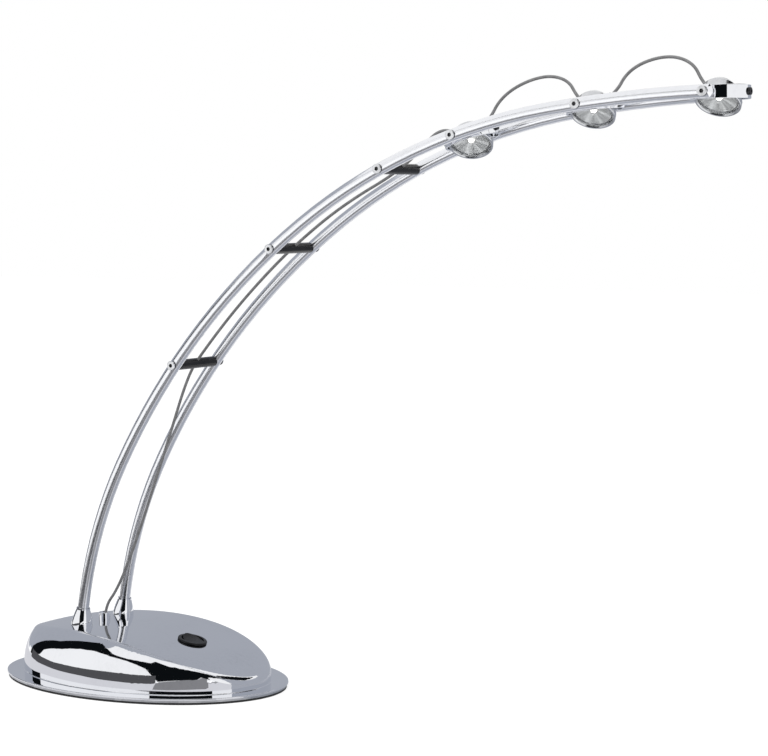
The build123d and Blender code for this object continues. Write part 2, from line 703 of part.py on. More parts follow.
cable("supply_cable", supply)


def loop(name, first, second, rise):
    """Cable that stands in a loop from one head to the next."""
    tip_out, way_out = lead_exit(head_planes[first], 1)
    tip_next, way_next = lead_exit(head_planes[second], -1)
    start = tip_out + way_out * lead_run
    end = tip_next + way_next * lead_run
    points = [tip_out, start]
    for share, height in ((0.08, 0.52), (0.24, 0.88), (0.47, 1.06), (0.70, 1.0), (0.90, 0.62)):
        points.append(between(start, end, share, rise * height, 2.5 * height))
    cable(name, points + [end, tip_next])


loop("cable_loop_1", 0, 1, 16.5)
loop("cable_loop_2", 1, 2, 16.0)

for number, frame in enumerate(head_planes, start=1):
    print("head", number, "centre", [round(value, 2) for value in frame.origin],
          "along", [round(value, 4) for value in frame.x_dir])
pivot = switch_plane.location * Pos(0, 0, rocker_pivot_z)
print("rocker pivot", [round(value, 3) for value in pivot.position])
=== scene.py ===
# LED table lamp: finishes, cables, reflectors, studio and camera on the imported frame
from math import atan2, cos, hypot, pi, radians, sin, tan

import bmesh
import bpy
from mathutils import Matrix, Vector


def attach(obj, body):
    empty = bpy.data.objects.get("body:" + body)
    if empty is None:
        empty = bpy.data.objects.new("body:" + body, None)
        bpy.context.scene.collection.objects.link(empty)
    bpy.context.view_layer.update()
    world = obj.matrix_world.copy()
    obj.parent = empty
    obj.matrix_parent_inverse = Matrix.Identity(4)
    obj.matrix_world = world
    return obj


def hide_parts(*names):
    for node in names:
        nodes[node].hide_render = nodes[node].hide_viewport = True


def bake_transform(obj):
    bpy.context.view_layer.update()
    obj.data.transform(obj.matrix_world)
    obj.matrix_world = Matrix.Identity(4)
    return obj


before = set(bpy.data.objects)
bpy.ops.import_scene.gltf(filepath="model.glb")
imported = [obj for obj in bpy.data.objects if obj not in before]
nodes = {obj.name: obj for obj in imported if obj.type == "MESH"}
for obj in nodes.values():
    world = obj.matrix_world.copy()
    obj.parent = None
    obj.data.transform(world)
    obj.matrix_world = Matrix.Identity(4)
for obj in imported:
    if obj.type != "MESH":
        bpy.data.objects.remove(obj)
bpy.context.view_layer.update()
scene = bpy.context.scene
scene.view_settings.view_transform = "Standard"

# Camera at the photograph's viewing angle
PHOTO_WIDTH = 768
FOCAL_PIXELS = 2300.0
SENSOR_WIDTH = 36.0
CAMERA_PLACE = Vector((0.9631, -1.2880, 0.3411))
CAMERA_TURN = radians(30.8055)
CAMERA_DIP = radians(4.592)


def set_camera():
    """Camera fitted to the tubes, the base and the pivots."""
    data = bpy.data.cameras.new("studio_camera")
    data.sensor_fit = "HORIZONTAL"
    data.sensor_width = SENSOR_WIDTH
    data.lens = FOCAL_PIXELS * SENSOR_WIDTH / PHOTO_WIDTH
    data.clip_start = 0.05
    data.clip_end = 50.0
    camera = bpy.data.objects.new("studio_camera", data)
    scene.collection.objects.link(camera)
    turn = Matrix.Rotation(CAMERA_TURN, 4, "Z") @ Matrix.Rotation(radians(90) - CAMERA_DIP, 4, "X")
    camera.matrix_world = Matrix.Translation(CAMERA_PLACE) @ turn
    scene.camera = camera


set_camera()

# Cable routes in metres, the same points as the solids
CABLE_DIAMETER = 0.002
SUPPLY_ROUTE = [
    (-0.03650, 0.0, 0.03298), (-0.03650, 0.0, 0.04748), (-0.02455, 0.0, 0.06159), (-0.00962, 0.0, 0.09298),
    (0.00531, 0.0, 0.13037), (0.02099, 0.0, 0.17096), (0.03816, 0.0, 0.21693), (0.05057, 0.0, 0.23262),
    (0.07223, 0.0, 0.25691), (0.09453, 0.0, 0.27907), (0.11618, 0.0, 0.29836), (0.13184, 0.0, 0.31081),
    (0.15381, 0.0, 0.32663), (0.17645, 0.0, 0.34005), (0.19842, 0.0, 0.35117), (0.21510, 0.0, 0.36219),
    (0.22371, 0.00264, 0.37234), (0.23288, 0.00540, 0.38136), (0.24378, 0.00548, 0.38101),
    (0.24803, 0.00350, 0.37927)]
LOOP_ROUTES = [
    [(0.26838, 0.00350, 0.38568), (0.27087, 0.00548, 0.38954), (0.27567, 0.00678, 0.39907),
     (0.28525, 0.00768, 0.40692), (0.29904, 0.00813, 0.41263), (0.31282, 0.00798, 0.41438),
     (0.32480, 0.00703, 0.41049), (0.33079, 0.00548, 0.40146), (0.33465, 0.00350, 0.39896)],
    [(0.35584, 0.00350, 0.40147), (0.35900, 0.00548, 0.40480), (0.36342, 0.00678, 0.41343),
     (0.37225, 0.00768, 0.41982), (0.38495, 0.00813, 0.42361), (0.39765, 0.00798, 0.42356),
     (0.40869, 0.00703, 0.41826), (0.41421, 0.00548, 0.40874), (0.41782, 0.00350, 0.40589)]]

# Lengths of cable at a head: from pot to ring, and on the supply cable from ring to frame
POT_STRETCH = 0.008
RING_STRETCH = 0.026

# Heads: centre of each pivot, the way the tubes run there, and the tilt of the pots
HEAD_NUMBERS = (1, 2, 3)
HEAD_CENTRES = [(0.25977, 0.0, 0.37752), (0.34585, 0.0, 0.39506), (0.42861, 0.0, 0.40096)]
HEAD_ALONG = [(0.9538, 0.3003), (0.9931, 0.1176), (0.9997, 0.0246)]
POT_TILT = radians(-34.0)


def head_matrix(number):
    """Frame of a pot: x along the tubes, z out of its back."""
    run_x, run_z = HEAD_ALONG[number - 1]
    turn = Matrix(((run_x, 0, -run_z, 0), (0, 1, 0, 0), (run_z, 0, run_x, 0), (0, 0, 0, 1)))
    return Matrix.Translation(HEAD_CENTRES[number - 1]) @ turn @ Matrix.Rotation(POT_TILT, 4, "X")


# Node helpers
def empty_material(name):
    """Material with nothing but its output."""
    material = bpy.data.materials.new(name)
    material.use_nodes = True
    tree = material.node_tree
    tree.nodes.clear()
    return material, tree, tree.nodes.new("ShaderNodeOutputMaterial")


def material_start(name):
    """Material with its shader joined to the output."""
    material, tree, output = empty_material(name)
    shader = tree.nodes.new("ShaderNodeBsdfPrincipled")
    tree.links.new(shader.outputs["BSDF"], output.inputs["Surface"])
    return material, tree, shader


def group_start(name, inputs, outputs):
    """Empty shader group with named sockets."""
    group = bpy.data.node_groups.new(name, "ShaderNodeTree")
    group.interface.new_socket(name="Coordinates", in_out="INPUT", socket_type="NodeSocketVector")
    for label, value in inputs:
        socket = group.interface.new_socket(name=label, in_out="INPUT", socket_type="NodeSocketFloat")
        socket.default_value = value
    for label in outputs:
        group.interface.new_socket(name=label, in_out="OUTPUT", socket_type="NodeSocketFloat")
    return group, group.nodes.new("NodeGroupInput"), group.nodes.new("NodeGroupOutput")


def noise(tree, vector, scale, detail=3.0, rough=0.5):
    """Noise texture; the scale is a number or a socket."""
    node = tree.nodes.new("ShaderNodeTexNoise")
    tree.links.new(vector, node.inputs["Vector"])
    if isinstance(scale, float):
        node.inputs["Scale"].default_value = scale
    else:
        tree.links.new(scale, node.inputs["Scale"])
    node.inputs["Detail"].default_value = detail
    node.inputs["Roughness"].default_value = rough
    return node.outputs["Fac"]


def spread(tree, value, low, high, from_low=0.0, from_high=1.0):
    """Range of a value moved to another range, held at its ends."""
    node = tree.nodes.new("ShaderNodeMapRange")
    tree.links.new(value, node.inputs["Value"])
    node.inputs["From Min"].default_value = from_low
    node.inputs["From Max"].default_value = from_high
    node.inputs["To Min"].default_value = low
    node.inputs["To Max"].default_value = high
    return node.outputs["Result"]


def combine(tree, operation, first, second):
    """Math on two values; the second is a number or a socket."""
    node = tree.nodes.new("ShaderNodeMath")
    node.operation = operation
    tree.links.new(first, node.inputs[0])
    if isinstance(second, float):
        node.inputs[1].default_value = second
    else:
        tree.links.new(second, node.inputs[1])
    return node.outputs["Value"]


def two_tone(tree, mask, first, second):
    """Colour between two tones by a mask."""
    node = tree.nodes.new("ShaderNodeMix")
    node.data_type = "RGBA"
    tree.links.new(mask, node.inputs["Factor"])
    node.inputs[6].default_value = (*first, 1)
    node.inputs[7].default_value = (*second, 1)
    return node.outputs[2]


def relief(tree, shader, height, strength, distance):
    """Bump from a height into a shader's normal."""
    node = tree.nodes.new("ShaderNodeBump")
    node.inputs["Strength"].default_value = strength
    node.inputs["Distance"].default_value = distance
    tree.links.new(height, node.inputs["Height"])
    tree.links.new(node.outputs["Normal"], shader.inputs["Normal"])


def object_place(tree, scale=(1, 1, 1)):
    """Object coordinates through a Mapping node."""
    place = tree.nodes.new("ShaderNodeTexCoord")
    mapping = tree.nodes.new("ShaderNodeMapping")
    mapping.inputs["Scale"].default_value = scale
    tree.links.new(place.outputs["Object"], mapping.inputs["Vector"])
    return mapping.outputs["Vector"]


def use_group(tree, group, vector, **values):
    """Places a shared effect with this material's own values."""
    node = tree.nodes.new("ShaderNodeGroup")
    node.node_tree = group
    tree.links.new(vector, node.inputs["Coordinates"])
    for label, value in values.items():
        node.inputs[label.replace("_", " ")].default_value = value
    return node


# Shared effects
def make_polish_marks():
    """Cloudy haze and fine rub marks of polished plating, and its slow ripple."""
    scales = [("Haze Scale", 24.0), ("Rub Scale", 320.0), ("Ripple Scale", 30.0)]
    group, enter, leave = group_start("polish_marks", scales, ["Marks", "Ripple"])
    place = enter.outputs["Coordinates"]
    haze = spread(group, noise(group, place, enter.outputs["Haze Scale"], 4.0), 0.0, 1.0, 0.42, 0.72)
    rubs = spread(group, noise(group, place, enter.outputs["Rub Scale"], 2.0, 0.7), 0.2, 1.0, 0.45, 0.75)
    group.links.new(combine(group, "MULTIPLY", haze, rubs), leave.inputs["Marks"])
    group.links.new(noise(group, place, enter.outputs["Ripple Scale"], 1.0), leave.inputs["Ripple"])
    return group


def make_moulded_skin():
    """Fine pebble of a moulded face and its slow drift of shade."""
    scales = [("Pebble Scale", 1400.0), ("Drift Scale", 60.0)]
    group, enter, leave = group_start("moulded_skin", scales, ["Shade", "Height"])
    place = enter.outputs["Coordinates"]
    pebble = noise(group, place, enter.outputs["Pebble Scale"], 2.0)
    drift = spread(group, noise(group, place, enter.outputs["Drift Scale"], 3.0), 0.0, 1.0, 0.35, 0.7)
    shade = combine(group, "MULTIPLY", drift, spread(group, pebble, 0.6, 1.0))
    group.links.new(shade, leave.inputs["Shade"])
    group.links.new(pebble, leave.inputs["Height"])
    return group


def make_metal_grain():
    """Drawn or turned lines in bare metal, with flecks between them."""
    scales = [("Line Scale", 900.0), ("Fleck Scale", 260.0)]
    group, enter, leave = group_start("metal_grain", scales, ["Lines", "Flecks"])
    place = enter.outputs["Coordinates"]
    group.links.new(noise(group, place, enter.outputs["Line Scale"], 3.0, 0.65), leave.inputs["Lines"])
    flecks = spread(group, noise(group, place, enter.outputs["Fleck Scale"], 4.0), 0.0, 1.0, 0.4, 0.66)
    group.links.new(flecks, leave.inputs["Flecks"])
    return group


polish_marks = make_polish_marks()
moulded_skin = make_moulded_skin()
metal_grain = make_metal_grain()


# Finishes
def bright_chrome(name, rough_low, rough_high):
    """Chrome plating with a little haze and hardly any ripple."""
    material, tree, shader = material_start(name)
    marks = use_group(tree, polish_marks, object_place(tree))
    tone = two_tone(tree, marks.outputs["Marks"], (0.86, 0.87, 0.90), (0.78, 0.79, 0.82))
    tree.links.new(tone, shader.inputs["Base Color"])
    rough = spread(tree, marks.outputs["Marks"], rough_low, rough_high)
    tree.links.new(rough, shader.inputs["Roughness"])
    relief(tree, shader, marks.outputs["Ripple"], 0.03, 0.0006)
    shader.inputs["Metallic"].default_value = 1.0
    return material


def black_moulding(name, rough_low, rough_high, pebble):
    """Black moulded plastic with a fine skin."""
    material, tree, shader = material_start(name)
    skin = use_group(tree, moulded_skin, object_place(tree), Pebble_Scale=1800.0)
    tone = two_tone(tree, skin.outputs["Shade"], (0.006, 0.006, 0.007), (0.016, 0.016, 0.018))
    tree.links.new(tone, shader.inputs["Base Color"])
    rough = spread(tree, skin.outputs["Shade"], rough_low, rough_high)
    tree.links.new(rough, shader.inputs["Roughness"])
    relief(tree, shader, skin.outputs["Height"], pebble, 0.0002)
    shader.inputs["Specular IOR Level"].default_value = 0.22
    return material


def matt_rubber(name, dark, light):
    """Rubber with a dusty bloom."""
    material, tree, shader = material_start(name)
    skin = use_group(tree, moulded_skin, object_place(tree), Pebble_Scale=2600.0, Drift_Scale=90.0)
    tree.links.new(two_tone(tree, skin.outputs["Shade"], dark, light), shader.inputs["Base Color"])
    tree.links.new(spread(tree, skin.outputs["Shade"], 0.62, 0.85), shader.inputs["Roughness"])
    relief(tree, shader, skin.outputs["Height"], 0.35, 0.0003)
    return material


def bare_metal(name, dark, light, rough_low, rough_high, stretch, relief_strength):
    """Bare steel or aluminium with machining lines along one way."""
    material, tree, shader = material_start(name)
    grain = use_group(tree, metal_grain, object_place(tree, stretch))
    tree.links.new(two_tone(tree, grain.outputs["Flecks"], dark, light), shader.inputs["Base Color"])
    rough = spread(tree, grain.outputs["Lines"], rough_low, rough_high, 0.3, 0.7)
    tree.links.new(rough, shader.inputs["Roughness"])
    relief(tree, shader, grain.outputs["Lines"], relief_strength, 0.0002)
    shader.inputs["Metallic"].default_value = 1.0
    return material


# Screws through the tubes: their faces' distance from the middle, and the depths where painted shade
# darkens the sockets
SCREW_FACE = 0.02919
SOCKET_SHADE_START_DEPTH = 0.0004
SOCKET_SHADE_FULL_DEPTH = 0.0010


def painted_socket_shade_steel():
    """Bright turned screw heads, with painted shade that darkens them down in their sockets."""
    material, tree, shader = material_start("painted_socket_shade_steel")
    place = object_place(tree)
    grain = use_group(tree, metal_grain, object_place(tree, (1.0, 0.2, 1.0)))
    parts = tree.nodes.new("ShaderNodeSeparateXYZ")
    tree.links.new(place, parts.inputs["Vector"])
    outward = tree.nodes.new("ShaderNodeMath")
    outward.operation = "ABSOLUTE"
    tree.links.new(parts.outputs["Y"], outward.inputs[0])
    # Painted shade: the base colour falls to near black with depth into the hex sockets.
    socket_shade_mask = spread(tree, outward.outputs["Value"], 0.04, 1.0,
                    SCREW_FACE - SOCKET_SHADE_FULL_DEPTH, SCREW_FACE - SOCKET_SHADE_START_DEPTH)
    flecks_and_socket_shade = combine(tree, "MULTIPLY", spread(tree, grain.outputs["Flecks"], 1.0, 0.8), socket_shade_mask)
    tone = two_tone(tree, flecks_and_socket_shade, (0.03, 0.03, 0.032), (0.80, 0.81, 0.83))
    tree.links.new(tone, shader.inputs["Base Color"])
    tree.links.new(spread(tree, grain.outputs["Lines"], 0.22, 0.36, 0.3, 0.7), shader.inputs["Roughness"])
    relief(tree, shader, grain.outputs["Lines"], 0.1, 0.0002)
    shader.inputs["Metallic"].default_value = 1.0
    return material


def zinc_plate():
    """Zinc-plated sheet with its spangle."""
    material, tree, shader = material_start("zinc_plate")
    place = object_place(tree)
    spangle = tree.nodes.new("ShaderNodeTexVoronoi")
    spangle.inputs["Scale"].default_value = 130.0
    tree.links.new(place, spangle.inputs["Vector"])
    cell = tree.nodes.new("ShaderNodeSeparateColor")
    tree.links.new(spangle.outputs["Color"], cell.inputs["Color"])
    grain = use_group(tree, metal_grain, place)
    mask = combine(tree, "MULTIPLY", cell.outputs["Red"], spread(tree, grain.outputs["Flecks"], 0.6, 1.0))
    tone = two_tone(tree, mask, (0.46, 0.47, 0.49), (0.64, 0.65, 0.66))
    tree.links.new(tone, shader.inputs["Base Color"])
    tree.links.new(spread(tree, cell.outputs["Green"], 0.28, 0.5), shader.inputs["Roughness"])
    shader.inputs["Metallic"].default_value = 1.0
    return material


def raw_casting():
    """Sand-cast iron: coarse skin, dark and patchy."""
    material, tree, shader = material_start("raw_casting")
    skin = use_group(tree, moulded_skin, object_place(tree), Pebble_Scale=700.0, Drift_Scale=45.0)
    tone = two_tone(tree, skin.outputs["Shade"], (0.06, 0.06, 0.06), (0.16, 0.155, 0.15))
    tree.links.new(tone, shader.inputs["Base Color"])
    tree.links.new(spread(tree, skin.outputs["Shade"], 0.55, 0.8), shader.inputs["Roughness"])
    relief(tree, shader, skin.outputs["Height"], 0.7, 0.0006)
    shader.inputs["Metallic"].default_value = 0.6
    return material


def pale_moulding(name, dark, light, rough):
    """Pale plastic or board lacquer with a slight drift of shade."""
    material, tree, shader = material_start(name)
    skin = use_group(tree, moulded_skin, object_place(tree), Drift_Scale=80.0)
    tree.links.new(two_tone(tree, skin.outputs["Shade"], dark, light), shader.inputs["Base Color"])
    tree.links.new(spread(tree, skin.outputs["Shade"], rough, rough + 0.15), shader.inputs["Roughness"])
    relief(tree, shader, skin.outputs["Height"], 0.2, 0.0002)
    return material


def clear_lens():
    """Clear pressed lens with a breath of haze."""
    material, tree, shader = material_start("clear_lens")
    marks = use_group(tree, polish_marks, object_place(tree), Haze_Scale=90.0)
    tone = two_tone(tree, marks.outputs["Marks"], (0.97, 0.98, 0.98), (0.92, 0.93, 0.94))
    tree.links.new(tone, shader.inputs["Base Color"])
    tree.links.new(spread(tree, marks.outputs["Marks"], 0.02, 0.09), shader.inputs["Roughness"])
    shader.inputs["Transmission Weight"].default_value = 1.0
    shader.inputs["IOR"].default_value = 1.49
    return material


# Emitter: radius of its bright core, and where it is down to its dim edge
EMITTER_CORE = 0.0011
EMITTER_EDGE = 0.0023


def lit_emitter(number):
    """Lit white emitter of a head, brightest over its middle."""
    material, tree, shader = material_start("lit_emitter_" + str(number))
    skin = use_group(tree, moulded_skin, object_place(tree), Drift_Scale=300.0)
    tone = two_tone(tree, skin.outputs["Shade"], (1.0, 0.99, 0.97), (1.0, 0.95, 0.86))
    tree.links.new(tone, shader.inputs["Base Color"])
    place = tree.nodes.new("ShaderNodeTexCoord")
    centred = tree.nodes.new("ShaderNodeMapping")
    centred.vector_type = "TEXTURE"
    head_frame = head_matrix(number)
    centred.inputs["Location"].default_value = head_frame.to_translation()
    centred.inputs["Rotation"].default_value = head_frame.to_euler()
    tree.links.new(place.outputs["Object"], centred.inputs["Vector"])
    flat = tree.nodes.new("ShaderNodeVectorMath")
    flat.operation = "MULTIPLY"
    flat.inputs[1].default_value = (1, 1, 0)
    tree.links.new(centred.outputs["Vector"], flat.inputs[0])
    away = tree.nodes.new("ShaderNodeVectorMath")
    away.operation = "LENGTH"
    tree.links.new(flat.outputs["Vector"], away.inputs[0])
    glow = spread(tree, away.outputs["Value"], 1.0, 0.10, EMITTER_CORE, EMITTER_EDGE)
    light = two_tone(tree, glow, (0.0, 0.0, 0.0), (1.0, 0.98, 0.94))
    tree.links.new(light, shader.inputs["Emission Color"])
    shader.inputs["Emission Strength"].default_value = 3.0
    shader.inputs["Roughness"].default_value = 0.3
    return material


def metallised_cup():
    """Vacuum-plated plastic cup: silver, with painted reflection in light and dark streaks that follow its
    facets.
    """
    material, tree, shader = material_start("metallised_cup")
    face = tree.nodes.new("ShaderNodeUVMap")
    face.uv_map = "facets"
    mapping = tree.nodes.new("ShaderNodeMapping")
    mapping.inputs["Scale"].default_value = (14.0, 0.4, 1.0)
    tree.links.new(face.outputs["UV"], mapping.inputs["Vector"])
    # Painted reflection: light and dark streaks along the facets, put into the base colour.
    painted_reflection_streaks = spread(tree, noise(tree, mapping.outputs["Vector"], 1.0, 1.0), 0.0, 1.0, 0.40, 0.62)
    marks = use_group(tree, polish_marks, object_place(tree), Haze_Scale=160.0)
    mask = combine(tree, "MAXIMUM", painted_reflection_streaks, spread(tree, marks.outputs["Marks"], 0.0, 0.2))
    tone = two_tone(tree, mask, (0.44, 0.445, 0.45), (0.72, 0.725, 0.73))
    tree.links.new(tone, shader.inputs["Base Color"])
    tree.links.new(spread(tree, painted_reflection_streaks, 0.55, 0.42), shader.inputs["Roughness"])
    shader.inputs["Metallic"].default_value = 1.0
    return material


def grey_sheath():
    """Grey cable sheath with a fine skin."""
    material, tree, shader = material_start("grey_sheath")
    skin = use_group(tree, moulded_skin, object_place(tree), Pebble_Scale=3200.0, Drift_Scale=240.0)
    tone = two_tone(tree, skin.outputs["Shade"], (0.20, 0.20, 0.205), (0.30, 0.30, 0.305))
    tree.links.new(tone, shader.inputs["Base Color"])
    tree.links.new(spread(tree, skin.outputs["Shade"], 0.38, 0.55), shader.inputs["Roughness"])
    relief(tree, shader, skin.outputs["Height"], 0.2, 0.0001)
    return material


# Finishes on the parts
def dress(material, *starts):
    """Gives a finish to every part whose name starts with one of the words."""
    for name, part in nodes.items():
        if name.startswith(starts):
            part.data.materials.clear()
            part.data.materials.append(material)


CABLE_FINISH = grey_sheath()
CUP_FINISH = metallised_cup()
dress(bright_chrome("bright_chrome", 0.02, 0.07),
      "base_cover", "rod_tips", "ferrule", "cable_bush", "ring_1", "ring_2", "ring_3")
dress(bright_chrome("tube_chrome", 0.20, 0.27), "rod_near", "rod_far")
dress(bare_metal("satin_pot_plate", (0.60, 0.61, 0.63), (0.70, 0.71, 0.73), 0.14, 0.26,
                 (1.0, 1.0, 0.3), 0.04), "pot_housing", "pot_bezel")
dress(black_moulding("gloss_black_bar", 0.16, 0.3, 0.05),
      "crossbar_lower", "crossbar_middle", "crossbar_upper")
dress(black_moulding("satin_black_switch", 0.3, 0.48, 0.2),
      "switch_housing", "switch_rocker", "lead_gland")
dress(matt_rubber("pad_rubber", (0.010, 0.010, 0.011), (0.028, 0.028, 0.029)), "base_pad")
dress(matt_rubber("grey_bush_rubber", (0.20, 0.20, 0.21), (0.32, 0.32, 0.33)), "lead_bushes")
dress(painted_socket_shade_steel(), "crossbar_screws", "ring_screws")
dress(bare_metal("turned_screw_steel", (0.42, 0.43, 0.44), (0.66, 0.67, 0.68), 0.16, 0.34,
                 (1.0, 1.0, 0.2), 0.12), "base_screws")
dress(bare_metal("plain_washer_steel", (0.50, 0.51, 0.52), (0.70, 0.71, 0.72), 0.2, 0.36,
                 (1.0, 0.4, 1.0), 0.1), "ring_washers")
dress(bare_metal("black_oxide", (0.02, 0.02, 0.022), (0.06, 0.06, 0.063), 0.24, 0.42,
                 (1.0, 1.0, 0.4), 0.15), "pot_screws")
dress(bare_metal("drawn_nut_steel", (0.45, 0.46, 0.47), (0.62, 0.63, 0.64), 0.25, 0.45,
                 (1.0, 1.0, 0.15), 0.2), "rod_nuts")
dress(zinc_plate(), "base_plate")
dress(raw_casting(), "ballast_weight")
dress(pale_moulding("driver_case", (0.62, 0.62, 0.60), (0.80, 0.80, 0.78), 0.42), "led_driver")
dress(pale_moulding("board_lacquer", (0.72, 0.73, 0.73), (0.86, 0.86, 0.85), 0.3), "led_board")
dress(clear_lens(), "lens")
for head in HEAD_NUMBERS:
    dress(lit_emitter(head), "led_chip_" + str(head))
dress(CUP_FINISH, "reflector")


# Cables
def smooth_line(route):
    """Points of the smooth line that the route controls."""
    data = bpy.data.curves.new("route", "CURVE")
    data.dimensions = "3D"
    data.resolution_u = 12
    spline = data.splines.new("NURBS")
    spline.points.add(len(route) - 1)
    for point, place in zip(spline.points, route):
        point.co = (*place, 1.0)
    spline.order_u = 3
    spline.use_endpoint_u = True
    holder = bpy.data.objects.new("route", data)
    line = bpy.data.meshes.new_from_object(holder)
    points = [vertex.co.copy() for vertex in line.vertices]
    bpy.data.objects.remove(holder)
    bpy.data.curves.remove(data)
    bpy.data.meshes.remove(line)
    return points


def cut_line(points, lengths):
    """The line cut at lengths measured from its start."""
    pieces = []
    current = [points[0]]
    done = 0.0
    wanted = list(lengths)
    for before, here in zip(points, points[1:]):
        done += (here - before).length
        current.append(here)
        if wanted and done >= wanted[0]:
            pieces.append(current)
            current = [here]
            wanted.pop(0)
    pieces.append(current)
    return pieces


def line_length(points):
    """Length along a line of points."""
    return sum((here - before).length for before, here in zip(points, points[1:]))


def sheath(name, points):
    """Round cable along a line."""
    data = bpy.data.curves.new(name + "_line", "CURVE")
    data.dimensions = "3D"
    data.bevel_depth = CABLE_DIAMETER / 2
    data.bevel_resolution = 4
    data.use_fill_caps = True
    spline = data.splines.new("POLY")
    spline.points.add(len(points) - 1)
    for point, place in zip(spline.points, points):
        point.co = (*place, 1.0)
    holder = bpy.data.objects.new(name + "_line", data)
    mesh = bpy.data.meshes.new_from_object(holder)
    bpy.data.objects.remove(holder)
    bpy.data.curves.remove(data)
    mesh.name = name
    mesh.shade_smooth()
    mesh.materials.clear()
    mesh.materials.append(CABLE_FINISH)
    piece = bpy.data.objects.new(name, mesh)
    scene.collection.objects.link(piece)
    return piece


def head_end(name, line, from_pot):
    """Two stretches of cable at a head: one between pot and ring, one between ring and frame."""
    near, far = line
    pot_piece = sheath(name + "_pot_end", near)
    ring_piece = sheath(name + "_ring_end", far)
    if from_pot:
        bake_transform(pot_piece)
        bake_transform(ring_piece)
    else:
        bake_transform(pot_piece)
        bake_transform(ring_piece)
    return [pot_piece, ring_piece]


def run_supply():
    """Cable from the base through the cross bars to the first head."""
    points = smooth_line(SUPPLY_ROUTE)
    total = line_length(points)
    both = POT_STRETCH + RING_STRETCH
    main, ring_part, pot_part = cut_line(points, [total - both, total - POT_STRETCH])
    piece = sheath("supply_cable_run", main)
    ends = head_end("supply_cable", (pot_part, ring_part), False)
    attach(piece, "lamp_frame")
    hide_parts("supply_cable")


def run_loop(number):
    """Cable that stands in a loop from one head to the next."""
    name = "cable_loop_" + str(number)
    points = smooth_line(LOOP_ROUTES[number - 1])
    total = line_length(points)
    first_pot, first_half, second_half, second_pot = cut_line(
        points, [POT_STRETCH, total / 2, total - POT_STRETCH])
    first_end, piece = head_end(name + "_from", (first_pot, first_half), True)
    second_ends = head_end(name + "_to", (second_pot, second_half), False)
    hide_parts(name)


run_supply()
for loop_number in (1, 2):
    run_loop(loop_number)

# Reflector cups in millimetres: radius and depth from the emitter's throat to the mouth
MILLIMETRE = 0.001
CUP_PROFILE = [(2.80, -2.85), (4.60, -3.02), (6.40, -3.30), (8.20, -3.72), (9.80, -4.25), (11.23, -5.0)]
CUP_THROAT = CUP_PROFILE[0][0]
CUP_MOUTH = CUP_PROFILE[-1][0]
CUP_SECTORS = 32
CUP_WELD = 0.001
CUP_WALL = 0.35
CUP_FLUTE = 0.30
CUP_FLUTE_RUN = 8.4


def reflector_cup(number):
    """Faceted cup behind a lens, fluted from throat to mouth."""
    work = bmesh.new()
    verts = [work.verts.new((radius, 0, depth)) for radius, depth in CUP_PROFILE]
    edges = [work.edges.new(pair) for pair in zip(verts, verts[1:])]
    bmesh.ops.spin(work, geom=verts + edges, cent=(0, 0, 0), axis=(0, 0, 1), dvec=(0, 0, 0), angle=2 * pi,
                   steps=CUP_SECTORS, use_merge=True, use_duplicate=False)
    bmesh.ops.remove_doubles(work, verts=work.verts, dist=CUP_WELD)
    for vert in work.verts:
        sector = round(atan2(vert.co.y, vert.co.x) / (2 * pi) * CUP_SECTORS)
        if sector % 2:
            vert.co.z += CUP_FLUTE * (hypot(vert.co.x, vert.co.y) - CUP_THROAT) / CUP_FLUTE_RUN
    bmesh.ops.recalc_face_normals(work, faces=work.faces)
    if sum(face.normal.z for face in work.faces) > 0:
        bmesh.ops.reverse_faces(work, faces=work.faces)
    facets = work.loops.layers.uv.new("facets")
    for face in work.faces:
        middle = face.calc_center_median()
        turn = atan2(middle.y, middle.x)
        for loop in face.loops:
            swing = atan2(loop.vert.co.y, loop.vert.co.x) - turn
            swing = (swing + pi) % (2 * pi) - pi
            reach = hypot(loop.vert.co.x, loop.vert.co.y)
            loop[facets].uv = ((turn + swing) / (2 * pi), reach / CUP_MOUTH)
    bmesh.ops.solidify(work, geom=work.faces, thickness=CUP_WALL)
    placing = head_matrix(number) @ Matrix.Scale(MILLIMETRE, 4)
    bmesh.ops.transform(work, matrix=placing, verts=work.verts)
    name = "reflector_cup_" + str(number)
    data = bpy.data.meshes.new(name)
    work.to_mesh(data)
    work.free()
    data.materials.append(CUP_FINISH)
    piece = bpy.data.objects.new(name, data)
    scene.collection.objects.link(piece)
    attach(piece, "pot_body_" + str(number))
    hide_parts("reflector_" + str(number))


for head in HEAD_NUMBERS:
    reflector_cup(head)

# Studio: white floor and room, soft lamps, and flats that only the metal sees
ROOM_FILL = 0.75
FLOOR_PAINT = (0.42, 0.42, 0.42)
FLOOR_GLOW = 0.74
FLOOR_HALF_SIDE = 6.0
SKY_CENTRE_HEIGHT = 0.03
SCREEN_STEPS = 32
BLACK = (0.004, 0.005, 0.006)
DARK_GREY = (0.085, 0.085, 0.09)
MID_GREY = (0.25, 0.25, 0.26)
PALE_GREY = (0.32, 0.32, 0.33)
BLUE_GREY = (0.40, 0.42, 0.47)
TABLE_WHITE = (0.72, 0.72, 0.75)


def link_stage(name, work, material):
    """Makes a stage object from a bmesh."""
    data = bpy.data.meshes.new(name)
    work.to_mesh(data)
    work.free()
    data.materials.append(material)
    item = bpy.data.objects.new(name, data)
    scene.collection.objects.link(item)
    return item


def seen_white(tree):
    """One for rays from the camera, off metal and through glass."""
    path = tree.nodes.new("ShaderNodeLightPath")
    direct = combine(tree, "MAXIMUM", path.outputs["Is Camera Ray"], path.outputs["Is Glossy Ray"])
    return combine(tree, "MAXIMUM", direct, path.outputs["Is Transmission Ray"])


